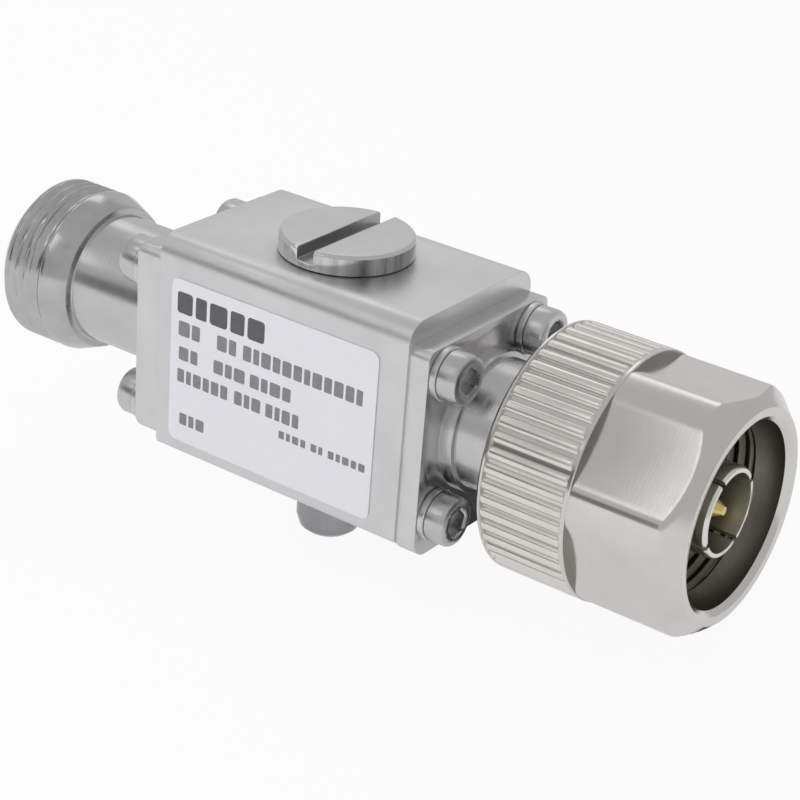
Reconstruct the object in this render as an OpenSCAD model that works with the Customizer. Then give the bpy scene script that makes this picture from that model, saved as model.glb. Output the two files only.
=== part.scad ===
// In-line coax lightning arrestor: a gas tube between the centre conductor and an earthed block,
// with a screw-on plug at the +X end and a threaded jack at the -X end.
// The line axis is X, the tube cap faces +Z and the label faces -Y.
// The origin is the middle of the plug's mating plane, the tip of its outer contact.

/* [Block] */
// Length of the block along the line (mm)
block_length = 27.4; // [25:0.1:36]
// Depth of the block from label face to back (mm)
block_depth = 18.3; // [18:0.1:24]
// Top of the block above the line axis (mm)
block_top = 11; // [10.6:0.1:14]
// Bottom of the block below the line axis (mm)
block_drop = 9.7; // [9.2:0.1:12]
// Radius of the two long top edges (mm)
block_top_round = 2; // [0.5:0.1:2.6]
// Radius of the two long bottom edges (mm)
block_bottom_round = 0.7; // [0.3:0.1:1.5]
// Radius of the air line bore (mm)
line_bore_r = 3.5; // [3.3:0.05:3.9]

/* [Flanges] */
// Width of both flanges from front to back (mm)
flange_width = 17.9; // [17.8:0.1:20]
// Height of the plug flange above the line axis (mm)
plug_flange_top = 9.05; // [8.8:0.05:10]
// Height of the jack flange above the line axis (mm)
jack_flange_top = 9.35; // [8.8:0.05:10]
// Bottom of the plug flange below the line axis (mm)
plug_flange_drop = 10.5; // [9.2:0.1:11]
// Bottom of the jack flange below the line axis (mm)
jack_flange_drop = 9.4; // [9.2:0.1:11]
// Radius of the upper flange corners (mm)
flange_top_round = 0.9; // [0.4:0.1:1.2]
// Radius of the lower flange corners (mm)
flange_low_round = 1.8; // [0.4:0.1:2.4]
// Thickness of the plug flange (mm)
plug_flange_t = 2; // [1.6:0.1:4]
// Thickness of the jack flange (mm)
jack_flange_t = 2.9; // [1.6:0.1:4]
// Spacing of the flange screws, both ways (mm)
screw_pitch = 13; // [12.9:0.05:13.1]
// Distance between the upper and the lower flange screws (mm)
screw_pitch_up = 13.4; // [12.9:0.05:13.6]
// Middle of the screw pattern below the line axis (mm)
screw_drop = 0.1; // [0:0.05:0.3]
// Radius of the centring spigots on both flanges (mm)
spigot_r = 5.4; // [5.2:0.05:5.6]
// Length of the centring spigots (mm)
spigot_length = 1.5; // [1:0.1:2.5]

/* [Flange screws] */
// Shank radius of the flange screws (mm)
screw_r = 1.25; // [1:0.05:1.5]
// Head radius of the flange screws (mm)
screw_head_r = 2.25; // [1.9:0.05:2.4]
// Head height of the flange screws (mm)
screw_head_h = 2; // [1.6:0.1:3]
// Hexagon socket across flats (mm)
screw_socket = 2.2; // [1.5:0.1:2.5]
// Depth of the hexagon socket (mm)
screw_socket_depth = 1.2; // [0.8:0.1:1.2]
// Thread length of the screws inside the block (mm)
screw_grip = 5.2; // [4:0.1:6]
// Thickness of the flange spring washers (mm)
screw_washer_t = 0.6; // [0.4:0.1:1]
// Outer radius of the flange spring washers (mm)
screw_washer_r = 2.4; // [2.3:0.05:2.6]

/* [Jack] */
// Reach of the jack beyond its flange (mm)
jack_reach = 19; // [17.6:0.1:24]
// Outside radius of the jack thread (mm)
jack_thread_r = 7.94; // [7.8:0.01:8.1]
// Distance from one thread ridge to the next on the jack and in the nut (mm)
thread_pitch = 1.058; // [0.9:0.002:1.3]
// Depth of the jack thread (mm)
jack_thread_depth = 0.5; // [0.2:0.05:0.6]
// Depth of the groove behind the jack thread (mm)
jack_relief_depth = 0.4; // [0.2:0.05:0.6]
// Length of the plain collar behind that groove (mm)
jack_collar = 0.3; // [0.2:0.1:1]
// Length of the threaded drum (mm)
jack_drum_length = 8.2; // [7.4:0.1:10]
// Drop of the sloped shoulder at the inner end of the drum (mm)
jack_drum_bevel = 0.95; // [0.3:0.05:1.3]
// Length of the sloped shoulder at the inner end of the drum (mm)
jack_drum_taper = 2.4; // [0.6:0.1:3.2]
// Bevel at the mouth of the drum (mm)
jack_mouth_bevel = 1.1; // [0.2:0.1:1.3]
// Radius of the jack neck (mm)
jack_neck_r = 6.25; // [5.9:0.05:6.4]
// Radius of the jack socket (mm)
jack_socket_r = 4.05; // [4:0.01:4.2]
// Depth of the jack socket (mm)
jack_socket_depth = 9.1; // [8.8:0.05:9.4]
// Stand-out of the jack contact from the socket floor (mm)
jack_contact_reach = 5; // [4.6:0.05:5.4]

/* [Plug] */
// Plug flange face to mating plane (mm)
plug_reach = 24.4; // [23:0.1:30]
// Radius of the plug neck inside the nut (mm)
plug_neck_r = 6; // [5.7:0.05:6.3]
// Radius of the collar beside the plug flange (mm)
plug_collar_r = 6.5; // [6.4:0.05:7]
// Length of the collar beside the plug flange (mm)
plug_collar_length = 1.3; // [0.6:0.1:2.5]
// Mating plane back to the front of the plug shell (mm)
plug_shell_back = 10.6; // [10.2:0.1:11.5]
// Radius of the outer contact (mm)
outer_contact_r = 4; // [3.9:0.02:4.1]
// Wall of the outer contact (mm)
outer_contact_wall = 0.5; // [0.4:0.02:0.7]
// Width of the slots in the outer contact (mm)
outer_contact_slot = 0.5; // [0.3:0.05:0.8]
// Depth of the slots in the outer contact (mm)
outer_contact_slot_depth = 6; // [4:0.1:8]
// Radius of the pin tip (mm)
pin_r = 0.82; // [0.78:0.01:0.86]
// Mating plane back to the tip of the pin (mm)
pin_back = 0.5; // [0.2:0.1:1.2]
// Thickness of the plug gasket (mm)
gasket_t = 1.5; // [1:0.1:1.5]
// Outer radius of the plug gasket (mm)
gasket_r = 6.2; // [5.6:0.05:6.6]

/* [Coupling nut] */
// Nut mouth ahead of the mating plane (mm)
nut_lead = 1.1; // [0:0.1:2]
// Length of the nut (mm)
nut_length = 18.7; // [17.6:0.1:22]
// Outside radius of the knurled rear of the nut (mm)
nut_r = 11.15; // [10.8:0.05:12]
// Drop from the knurl to the turned corners of the hexagon (mm)
nut_hex_drop = 0.13; // [0:0.01:0.3]
// Nut hexagon across flats (mm)
nut_flats = 20.4; // [19.8:0.1:21.5]
// Length of the knurled rear of the nut (mm)
nut_knurl_length = 8.7; // [6:0.1:9.4]
// Number of knurl grooves around the nut
nut_knurl_count = 50; // [36:2:72]
// Depth of the knurl grooves (mm)
nut_knurl_depth = 0.32; // [0.15:0.01:0.45]
// Turn of the nut about the line axis (degrees)
nut_turn = 22; // [0:1:59]
// Inside radius of the nut thread (mm)
nut_thread_r = 7.55; // [7.4:0.05:7.8]
// Depth of the nut thread (mm)
nut_thread_depth = 0.4; // [0.2:0.05:0.6]
// Radius of the nut mouth (mm)
nut_mouth_r = 8.7; // [8.2:0.05:8.9]
// Bevel height on the front of the hexagon (mm)
nut_bevel = 1.6; // [0.6:0.1:2]
// Section of the ring that holds the nut, along the axis (mm)
ring_t = 0.8; // [0.6:0.05:1]
// Outer radius of the ring that holds the nut (mm)
ring_r = 7; // [6.8:0.05:7.2]

/* [Tube cap] */
// Radius of the cap head (mm)
cap_r = 6.1; // [5.9:0.05:6.6]
// Height of the cap head above the block (mm)
cap_height = 1.9; // [1.6:0.1:3]
// Radius of the cap thread (mm)
cap_thread_r = 5; // [4.8:0.02:5.05]
// Length of the cap thread (mm)
cap_thread_length = 4.2; // [3.4:0.1:4.6]
// Width of the coin slot (mm)
cap_slot = 1.75; // [1:0.05:2.5]
// Depth of the coin slot (mm)
cap_slot_depth = 1.2; // [0.6:0.1:1.4]
// Section radius of the cap sealing ring (mm)
seal_section = 0.34; // [0.3:0.01:0.36]
// Depth of the sealing ring seat in the block (mm)
seal_sink = 0.3; // [0.2:0.02:0.4]

/* [Gas tube] */
// Outside radius of the gas tube (mm)
tube_r = 4; // [3.6:0.05:4.05]
// Overall length of the gas tube (mm)
tube_length = 6; // [5.2:0.1:6.2]
// Thickness of the tube end plates (mm)
tube_plate_t = 0.8; // [0.5:0.05:1]
// Spark gap inside the tube (mm)
tube_gap = 0.9; // [0.5:0.05:1.4]
// Wall of the ceramic sleeve (mm)
tube_wall = 0.8; // [0.6:0.05:1]
// Top of the conductor post under the tube (mm)
post_top = 2.2; // [2.1:0.05:2.4]

/* [Line] */
// Radius of the centre conductor (mm)
line_r = 1.52; // [1.4:0.02:1.6]
// Radius of the joining stubs of the contacts (mm)
stub_r = 0.75; // [0.6:0.05:0.85]
// Length of the joining stubs of the contacts (mm)
stub_length = 3; // [2:0.1:4]
// Radius of the line insulators (mm)
insulator_r = 4.6; // [4.5:0.05:4.7]

/* [Cap spring] */
// Outer radius of the contact spring (mm)
spring_r = 3.7; // [3.2:0.05:3.9]
// Hole radius of the contact spring (mm)
spring_hole_r = 1.4; // [1:0.1:2]
// Thickness of the contact spring (mm)
spring_t = 0.25; // [0.15:0.05:0.35]
// Room for the contact spring between tube and cap (mm)
spring_rise = 1; // [0.8:0.05:1.1]

/* [Ground terminal] */
// Shank radius of the ground screw (mm)
ground_r = 2; // [1.5:0.05:2.4]
// Thread length of the ground screw inside the block (mm)
ground_grip = 4.6; // [3.5:0.1:4.8]
// Head radius of the ground screw (mm)
ground_head_r = 3.1; // [3:0.05:4]
// Head height of the ground screw (mm)
ground_head_h = 3.6; // [2:0.1:4]
// Thickness of each flat washer (mm)
ground_flat_t = 1; // [0.5:0.1:1.2]
// Outer radius of the flat washers (mm)
ground_flat_r = 4.3; // [4:0.05:4.8]
// Thickness of the ground spring washer (mm)
ground_spring_t = 1.4; // [0.8:0.1:1.6]
// Outer radius of the ground spring washer (mm)
ground_spring_r = 3.3; // [3.1:0.05:3.9]

/* [Label] */
// Length of the label along the line (mm)
label_length = 23; // [18:0.1:24]
// Height of the label (mm)
label_height = 15.9; // [12:0.1:16]
// Place of the label along the line from the block's middle (mm)
label_shift = -0.6; // [-1:0.05:1]
// Height of the label's middle from the line (mm)
label_lift = -0.35; // [-0.4:0.05:0.4]
// Thickness of the label (mm)
label_t = 0.12; // [0.08:0.01:0.2]
// Corner radius of the label (mm)
label_round = 0.8; // [0.3:0.1:2]

/* [Fits] */
// Radial clearance of a fixed screw or spigot in its hole (mm)
fixed_clearance = 0.03; // [0.02:0.01:0.06]
// Radial clearance of a turning thread or bore (mm)
turning_clearance = 0.06; // [0.03:0.01:0.1]
// Gap between faces of pieces that move apart (mm)
seat_gap = 0.05; // [0.03:0.01:0.1]

/* [Hidden] */
$fn = 64;
x_plug_flange = -plug_reach;
x_block_right = x_plug_flange - plug_flange_t;
x_block_left = x_block_right - block_length;
x_jack_flange = x_block_left - jack_flange_t;
x_jack_end = x_jack_flange - jack_reach;
x_mid = (x_block_left + x_block_right) / 2;
x_jack_floor = x_jack_end + jack_socket_depth;
x_jack_tip = x_jack_floor - jack_contact_reach;
x_drum_in = x_jack_end + jack_drum_length;
x_thread = x_jack_end + jack_mouth_bevel + 0.05;
x_collar = x_drum_in - jack_drum_taper - jack_collar;
jack_turns = floor((x_collar - 0.9 - x_thread) / thread_pitch);
x_relief = x_thread + jack_turns * thread_pitch;
x_jack_step = x_jack_floor + 2.4;
x_spigot_left = x_block_left + spigot_length;
x_spigot_right = x_block_right - spigot_length;
x_line_left = x_spigot_left - 2;
x_line_right = x_spigot_right + 2;
x_shell_front = -plug_shell_back;
x_contact_seat = x_shell_front - 1.4;
x_contact_back = x_contact_seat - 1;
x_nose_front = x_shell_front + 1.2;
x_pin_step = -jack_contact_reach - 0.35;
x_nut_front = nut_lead;
x_nut_back = nut_lead - nut_length;
x_nut_thread = x_shell_front + 1.8;
nut_turns = floor((-2 - x_nut_thread) / thread_pitch);
x_knurl_front = x_nut_back + nut_knurl_length;
x_ring = x_nut_back + 2.6;
x_lip_front = x_ring + ring_t + 1.6;
contact_bore_r = outer_contact_r - outer_contact_wall;
ring_inner_r = plug_neck_r - 0.7;
nut_hex_r = nut_r - nut_hex_drop;
nut_bore_r = plug_neck_r + turning_clearance;
z_cap_seat = block_top + seat_gap;
z_cap_top = block_top + cap_height;
z_cap_low = block_top - cap_thread_length;
z_tube_top = post_top + tube_length;
z_cup = z_tube_top + spring_rise;
cup_r = tube_r + 0.2;
well_r = tube_r + 0.3;
stud_length = (tube_length - 2 * tube_plate_t - tube_gap) / 2;
tube_hole_r = tube_r - tube_wall;
seal_r = (cap_thread_r + cap_r) / 2;
z_seal = block_top - seal_sink + seal_section + seat_gap;
z_ground = -block_drop - seat_gap;
z_spring_top = z_ground - 2 * ground_flat_t;
z_head_top = z_spring_top - ground_spring_t;
thread_hole_r = screw_r + fixed_clearance;

// Sub-part to show

// Round bar along the line from x0 to x1.
module bar(x0, x1, r) {
    translate([x0, 0, 0])
        rotate([0, 90, 0])
            cylinder(h = x1 - x0, r = r);
}

// Round bar along Z from z0 to z1 at the middle of the block.
module post(z0, z1, r) {
    translate([x_mid, 0, z0])
        cylinder(h = z1 - z0, r = r);
}

// Profile points of a row of thread grooves as deep as depth, outward when depth is positive.
function thread_rings(r, depth, x0, turns) = [
    for (i = [0:turns - 1])
        for (p = [[0, 0.1], [depth, 0.44], [depth, 0.56], [0, 0.9]])
            [r + p[0], x0 + (i + p[1]) * thread_pitch]
];

// Body turned about the line; each profile point is [radius, x].
module turned(profile) {
    rotate([0, 90, 0])
        rotate_extrude()
            polygon(profile);
}

// Body turned about the tube axis; each profile point is [radius, z].
module turned_up(profile) {
    translate([x_mid, 0, 0])
        rotate_extrude()
            polygon(profile);
}

// Rectangle with its own radius on the upper and lower corners.
module round_rect(half_width, low, high, r_low, r_high) {
    translate([-half_width, low + r_low])
        square([2 * half_width, high - low - r_low - r_high]);
    translate([-half_width + r_low, low])
        square([2 * half_width - 2 * r_low, r_low]);
    translate([-half_width + r_high, high - r_high])
        square([2 * half_width - 2 * r_high, r_high]);
    for (side = [-1, 1]) {
        translate([side * (half_width - r_low), low + r_low])
            circle(r = r_low);
        translate([side * (half_width - r_high), high - r_high])
            circle(r = r_high);
    }
}

// Plate across the line from x0 to x1 with rounded corners.
module plate(x0, x1, half_width, low, high, r_low, r_high) {
    translate([x0, 0, 0])
        rotate([90, 0, 90])
            linear_extrude(x1 - x0)
                round_rect(half_width, low, high, r_low, r_high);
}

// Repeat children at the four flange screws.
module at_screws() {
    for (y = [-1, 1])
        for (z = [-1, 1])
            translate([0, y * screw_pitch / 2, z * screw_pitch_up / 2 - screw_drop])
                children();
}

// Flange from x0 to x1 with its spigot into the block and its own upper and lower end.
module flange(x0, x1, x_spigot, top, drop) {
    plate(x0, x1, flange_width / 2, -drop, top, flange_low_round, flange_top_round);
    bar(min(x0, x_spigot), max(x1, x_spigot), spigot_r);
}

// Machined block that carries the line, the tube well and the tapped holes.
module body_block() {
    color("Silver")
        difference() {
            plate(x_block_left, x_block_right, block_depth / 2, -block_drop, block_top,
                block_bottom_round, block_top_round);
            bar(x_block_left - 1, x_block_right + 1, line_bore_r);
            bar(x_block_left - 1, x_spigot_left, spigot_r + fixed_clearance);
            bar(x_spigot_right, x_block_right + 1, spigot_r + fixed_clearance);
            post(post_top - 0.3, z_cap_low, well_r);
            post(z_cap_low - 0.4, block_top + 1, cap_thread_r + turning_clearance);
            post(block_top - seal_sink, block_top + 1, seal_r + seal_section + seat_gap);
            post(-block_drop - 1, -block_drop + ground_grip + 0.3, ground_r + turning_clearance);
            at_screws()
                bar(x_block_left - 1, x_block_left + screw_grip + 0.3, thread_hole_r);
            at_screws()
                bar(x_block_right - screw_grip - 0.3, x_block_right + 1, thread_hole_r);
        }
}

// Jack body: flange, neck and threaded drum in one piece.
module jack_shell() {
    color("Gainsboro")
        difference() {
            union() {
                flange(x_jack_flange, x_block_left, x_spigot_left, jack_flange_top, jack_flange_drop);
                turned([
                    [0, x_jack_end],
                    [jack_thread_r - jack_mouth_bevel, x_jack_end],
                    [jack_thread_r, x_jack_end + jack_mouth_bevel],
                    each thread_rings(jack_thread_r, -jack_thread_depth, x_thread, jack_turns),
                    [jack_thread_r, x_relief],
                    [jack_thread_r - jack_relief_depth, x_relief + 0.35],
                    [jack_thread_r - jack_relief_depth, x_collar - 0.35],
                    [jack_thread_r, x_collar],
                    [jack_thread_r, x_drum_in - jack_drum_taper],
                    [jack_thread_r - jack_drum_bevel, x_drum_in],
                    [jack_neck_r, x_drum_in],
                    [jack_neck_r, x_jack_flange + 0.5],
                    [0, x_jack_flange + 0.5]
                ]);
            }
            turned([
                [0, x_jack_end - 1],
                [jack_socket_r + 1.5, x_jack_end - 1],
                [jack_socket_r, x_jack_end + 0.5],
                [jack_socket_r, x_jack_floor],
                [line_bore_r, x_jack_floor],
                [line_bore_r, x_jack_step],
                [insulator_r, x_jack_step],
                [insulator_r, x_spigot_left + 1],
                [0, x_spigot_left + 1]
            ]);
            at_screws()
                bar(x_jack_flange - 1, x_block_left + 1, thread_hole_r);
        }
}

// Stepped insulator that holds the jack contact.
module jack_insulator() {
    color("White")
        turned([
            [line_r, x_jack_floor],
            [line_bore_r, x_jack_floor],
            [line_bore_r, x_jack_step],
            [insulator_r, x_jack_step],
            [insulator_r, x_spigot_left],
            [line_r, x_spigot_left]
        ]);
}

// Slotted socket contact of the jack.
module jack_contact() {
    color("Gold")
        difference() {
            union() {
                bar(x_jack_tip, x_line_left, line_r);
                bar(x_line_left - 0.5, x_line_left + stub_length, stub_r);
            }
            bar(x_jack_tip - 1, x_jack_tip + 6, pin_r + 0.02);
            for (turn = [45, 135])
                rotate([turn, 0, 0])
                    translate([x_jack_tip - 1, -0.15, -3])
                        cube([5, 0.3, 6]);
        }
}

// Plug body: flange, collar and neck in one piece.
module plug_shell() {
    color("Gainsboro")
        difference() {
            union() {
                flange(x_block_right, x_plug_flange, x_spigot_right, plug_flange_top, plug_flange_drop);
                turned([
                    [0, x_plug_flange - 0.5],
                    [plug_collar_r, x_plug_flange - 0.5],
                    [plug_collar_r, x_plug_flange + plug_collar_length],
                    [plug_neck_r, x_plug_flange + plug_collar_length],
                    [plug_neck_r, x_ring],
                    [ring_inner_r, x_ring],
                    [ring_inner_r, x_ring + ring_t],
                    [plug_neck_r, x_ring + ring_t],
                    [plug_neck_r, x_shell_front],
                    [0, x_shell_front]
                ]);
            }
            turned([
                [0, x_spigot_right - 1],
                [insulator_r, x_spigot_right - 1],
                [insulator_r, x_contact_seat],
                [outer_contact_r, x_contact_seat],
                [outer_contact_r, x_shell_front + 1],
                [0, x_shell_front + 1]
            ]);
            at_screws()
                bar(x_block_right - 1, x_plug_flange + 1, thread_hole_r);
        }
}

// Slotted tube that meets the jack's socket floor.
module plug_outer_contact() {
    color("Silver")
        difference() {
            turned([
                [contact_bore_r, x_contact_back],
                [insulator_r, x_contact_back],
                [insulator_r, x_contact_seat],
                [outer_contact_r, x_contact_seat],
                [outer_contact_r, -outer_contact_wall / 2],
                [outer_contact_r - outer_contact_wall * 0.3, 0],
                [contact_bore_r, 0]
            ]);
            for (turn = [30, 120])
                rotate([turn, 0, 0])
                    translate([-outer_contact_slot_depth, -outer_contact_slot / 2, -outer_contact_r - 1])
                        cube([outer_contact_slot_depth + 1, outer_contact_slot, 2 * outer_contact_r + 2]);
        }
}

// Stepped insulator that holds the plug pin.
module plug_insulator() {
    color("White")
        turned([
            [line_r, x_spigot_right],
            [insulator_r, x_spigot_right],
            [insulator_r, x_contact_back],
            [contact_bore_r, x_contact_back],
            [contact_bore_r, x_nose_front],
            [line_r, x_nose_front]
        ]);
}

// Centre pin of the plug.
module plug_pin() {
    color("Gold") {
        turned([
            [0, x_line_right - stub_length],
            [stub_r, x_line_right - stub_length],
            [stub_r, x_line_right],
            [line_r, x_line_right],
            [line_r, x_pin_step],
            [pin_r, x_pin_step],
            [pin_r, -pin_back - 0.9],
            [pin_r * 0.45, -pin_back],
            [0, -pin_back]
        ]);
    }
}

// Soft ring that seals against the mouth of a mated jack.
module plug_gasket() {
    color("OrangeRed")
        turned([
            [outer_contact_r + fixed_clearance, x_shell_front],
            [gasket_r, x_shell_front],
            [gasket_r, x_shell_front + gasket_t],
            [outer_contact_r + fixed_clearance, x_shell_front + gasket_t]
        ]);
}

// Nut with a straight-knurled rear and a hexagon front.
module coupling_nut() {
    color("Silver")
        difference() {
            union() {
                turned([
                    [0, x_nut_back],
                    [nut_r - 0.4, x_nut_back],
                    [nut_r, x_nut_back + 0.4],
                    [nut_r, x_knurl_front],
                    [0, x_knurl_front]
                ]);
                intersection() {
                    turned([
                        [0, x_knurl_front - 1],
                        [nut_hex_r, x_knurl_front - 1],
                        [nut_hex_r, x_nut_front - nut_bevel],
                        [nut_hex_r - nut_bevel, x_nut_front],
                        [0, x_nut_front]
                    ]);
                    rotate([nut_turn, 0, 0])
                        translate([x_knurl_front - 1, 0, 0])
                            rotate([0, 90, 0])
                                cylinder(h = nut_length, r = nut_flats / 2 / cos(30), $fn = 6);
                }
            }
            turned([
                [0, x_nut_back - 1],
                [nut_bore_r, x_nut_back - 1],
                [nut_bore_r, x_ring - 0.25],
                [ring_r + 0.25, x_ring - 0.25],
                [ring_r + 0.25, x_ring + ring_t + 0.25],
                [nut_bore_r, x_ring + ring_t + 0.25],
                [nut_bore_r, x_lip_front],
                [nut_thread_r + 0.4, x_lip_front],
                [nut_thread_r + 0.4, x_shell_front + 1.4],
                [nut_thread_r, x_nut_thread],
                each thread_rings(nut_thread_r, nut_thread_depth, x_nut_thread, nut_turns),
                [nut_thread_r, -1.8],
                [nut_mouth_r - 0.5, -0.9],
                [nut_mouth_r - 0.5, x_nut_front - 0.5],
                [nut_mouth_r, x_nut_front],
                [nut_mouth_r, x_nut_front + 1],
                [0, x_nut_front + 1]
            ]);
            for (i = [0:nut_knurl_count - 1])
                rotate([i * 360 / nut_knurl_count, 0, 0])
                    translate([x_nut_back - 1, 0, nut_r + 0.1])
                        rotate([45, 0, 0])
                            knurl_cutter();
        }
}

// Square bar whose corner cuts one knurl groove.
module knurl_cutter() {
    side = (nut_knurl_depth + 0.1) * sqrt(2);
    translate([0, -side / 2, -side / 2])
        cube([nut_knurl_length + 0.6, side, side]);
}

// Split ring that keeps the nut on the plug neck.
module nut_retaining_ring() {
    color("DimGray")
        difference() {
            bar(x_ring, x_ring + ring_t, ring_r);
            bar(x_ring - 1, x_ring + ring_t + 1, ring_inner_r);
            translate([x_ring - 1, -0.9, -ring_r - 1])
                cube([ring_t + 2, 1.8, ring_r - ring_inner_r + 2]);
        }
}

// Through conductor with the post that meets the gas tube.
module centre_conductor() {
    color("Gold")
        difference() {
            union() {
                bar(x_line_left, x_line_right, line_r);
                post(0, post_top, line_r * 0.8);
            }
            bar(x_line_left - 1, x_line_left + stub_length, stub_r);
            bar(x_line_right - stub_length, x_line_right + 1, stub_r);
        }
}

// Ceramic sleeve of the gas tube.
module gas_tube_ceramic() {
    color("Linen")
        difference() {
            post(post_top + tube_plate_t, z_tube_top - tube_plate_t, tube_r);
            post(post_top, z_tube_top, tube_hole_r);
        }
}

// Upper end plate and electrode of the gas tube.
module gas_tube_top_electrode() {
    color("Silver") {
        post(z_tube_top - tube_plate_t, z_tube_top, tube_r - 0.1);
        post(z_tube_top - tube_plate_t - stud_length, z_tube_top, tube_hole_r * 0.6);
    }
}

// Lower end plate and electrode of the gas tube.
module gas_tube_bottom_electrode() {
    color("Silver") {
        post(post_top, post_top + tube_plate_t, tube_r - 0.1);
        post(post_top, post_top + tube_plate_t + stud_length, tube_hole_r * 0.6);
    }
}

// Screw cap over the tube well, with a coin slot.
module gas_tube_cap() {
    color("Silver")
        difference() {
            turned_up([
                [0, z_cap_low],
                [cap_thread_r - 0.4, z_cap_low],
                [cap_thread_r, z_cap_low + 0.4],
                [cap_thread_r, z_cap_seat],
                [cap_r, z_cap_seat],
                [cap_r, z_cap_top - 0.25],
                [cap_r - 0.25, z_cap_top],
                [0, z_cap_top]
            ]);
            post(z_cap_low - 1, z_cup, cup_r);
            turned_up([
                [seal_r - seal_section - seat_gap, z_cap_seat - 0.5],
                [seal_r + seal_section + seat_gap, z_cap_seat - 0.5],
                [seal_r + seal_section + seat_gap, z_seal + seal_section + seat_gap],
                [seal_r - seal_section - seat_gap, z_seal + seal_section + seat_gap]
            ]);
            translate([x_mid - cap_slot / 2, -cap_r - 1, z_cap_top - cap_slot_depth])
                cube([cap_slot, 2 * cap_r + 2, cap_slot_depth + 1]);
        }
}

// Sealing ring under the cap head.
module cap_seal() {
    color("DimGray")
        translate([x_mid, 0, z_seal])
            rotate_extrude()
                translate([seal_r, 0])
                    circle(r = seal_section, $fn = 24);
}

// Dished spring that presses the gas tube onto its post.
module cap_contact_spring() {
    color("Goldenrod")
        turned_up([
            [spring_hole_r, z_cup - seat_gap - spring_t],
            [spring_hole_r + spring_t * 2, z_cup - seat_gap - spring_t],
            [spring_r - spring_t * 1.2, z_tube_top + seat_gap],
            [spring_r, z_tube_top + seat_gap],
            [spring_r, z_tube_top + seat_gap + spring_t],
            [spring_r - spring_t * 0.8, z_tube_top + seat_gap + spring_t],
            [spring_hole_r + spring_t * 2.4, z_cup - seat_gap],
            [spring_hole_r, z_cup - seat_gap]
        ]);
}

// Socket-head screw along X; the head stands on x_seat and side is the way it faces.
module socket_screw(x_seat, side, shank) {
    x_top = x_seat + side * screw_head_h;
    difference() {
        union() {
            bar(min(x_seat, x_top), max(x_seat, x_top), screw_head_r);
            bar(min(x_seat, x_seat - side * shank), max(x_seat, x_seat - side * shank), screw_r);
        }
        translate([x_top - side * screw_socket_depth, 0, 0])
            rotate([0, side * 90, 0])
                cylinder(h = screw_socket_depth + 1, r = screw_socket / 2 / cos(30), $fn = 6);
    }
}

// Split washer along X from x0.
module split_washer(x0) {
    difference() {
        bar(x0, x0 + screw_washer_t, screw_washer_r);
        bar(x0 - 1, x0 + screw_washer_t + 1, thread_hole_r);
        translate([x0 - 1, -0.2, -screw_washer_r - 1])
            cube([screw_washer_t + 2, 0.4, screw_washer_r + 1]);
    }
}

// Four screws of the jack flange.
module jack_flange_screws() {
    color("LightSlateGray")
        at_screws()
            socket_screw(x_jack_flange - screw_washer_t, -1, screw_washer_t + jack_flange_t + screw_grip);
}

// Four spring washers of the jack flange.
module jack_flange_washers() {
    color("LightGray")
        at_screws()
            split_washer(x_jack_flange - screw_washer_t);
}

// Four screws of the plug flange.
module plug_flange_screws() {
    color("LightSlateGray")
        at_screws()
            socket_screw(x_plug_flange + screw_washer_t, 1, screw_washer_t + plug_flange_t + screw_grip);
}

// Four spring washers of the plug flange.
module plug_flange_washers() {
    color("LightGray")
        at_screws()
            split_washer(x_plug_flange);
}

// Pan-head earth screw under the block.
module ground_screw() {
    z_low = z_head_top - seat_gap - ground_head_h;
    color("LightSlateGray")
        difference() {
            turned_up([
                [0, z_low],
                [ground_head_r * 0.7, z_low],
                [ground_head_r * 0.9, z_low + ground_head_h * 0.14],
                [ground_head_r, z_low + ground_head_h * 0.42],
                [ground_head_r, z_head_top - seat_gap],
                [ground_r, z_head_top - seat_gap],
                [ground_r, -block_drop + ground_grip - 0.4],
                [ground_r - 0.4, -block_drop + ground_grip],
                [0, -block_drop + ground_grip]
            ]);
            for (turn = [0, 90])
                translate([x_mid, 0, z_low])
                    rotate([0, 0, turn])
                        cube([ground_head_r * 1.1, 0.9, ground_head_h * 1.1], center = true);
        }
}

// Spring washer on the earth screw.
module ground_spring_washer() {
    color("LightGray")
        difference() {
            post(z_head_top, z_spring_top - seat_gap, ground_spring_r);
            post(z_head_top - 1, z_spring_top + 1, ground_r + turning_clearance);
            translate([x_mid - 0.25, 0, z_head_top - 1])
                cube([0.5, ground_spring_r + 1, ground_spring_t + 2]);
        }
}

// Two flat washers that take an earth lug between them.
module ground_flat_washers() {
    color("LightGray")
        for (i = [0, 1])
            difference() {
                post(z_ground - (i + 1) * ground_flat_t, z_ground - i * (ground_flat_t + 0.02), ground_flat_r);
                post(z_ground - 3 * ground_flat_t, z_ground + 1, ground_r + turning_clearance);
            }
}

// Bare printed label on the front face.
module rating_label() {
    color("WhiteSmoke")
        translate([x_mid + label_shift, -block_depth / 2, label_lift])
            rotate([90, 0, 0])
                linear_extrude(label_t)
                    round_rect(label_length / 2, -label_height / 2, label_height / 2, label_round, label_round);
}

body_block();
jack_shell();
jack_insulator();
jack_contact();
plug_shell();
plug_outer_contact();
plug_insulator();
plug_pin();
plug_gasket();
coupling_nut();
nut_retaining_ring();
centre_conductor();
gas_tube_ceramic();
gas_tube_top_electrode();
gas_tube_bottom_electrode();
gas_tube_cap();
cap_seal();
cap_contact_spring();
jack_flange_screws();
jack_flange_washers();
plug_flange_screws();
plug_flange_washers();
ground_screw();
ground_spring_washer();
ground_flat_washers();
rating_label();
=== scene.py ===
"""Dressed scene of an in-line coax lightning arrestor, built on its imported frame.

Sizes are in millimetres and mesh points in metres, where nothing else is said.
"""

from __future__ import annotations

import logging
import math
from collections.abc import Callable, Iterable, Mapping, Sequence
from dataclasses import dataclass, field
from enum import Enum
from functools import partial

import bmesh
import bpy
from mathutils import Matrix, Vector


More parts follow.
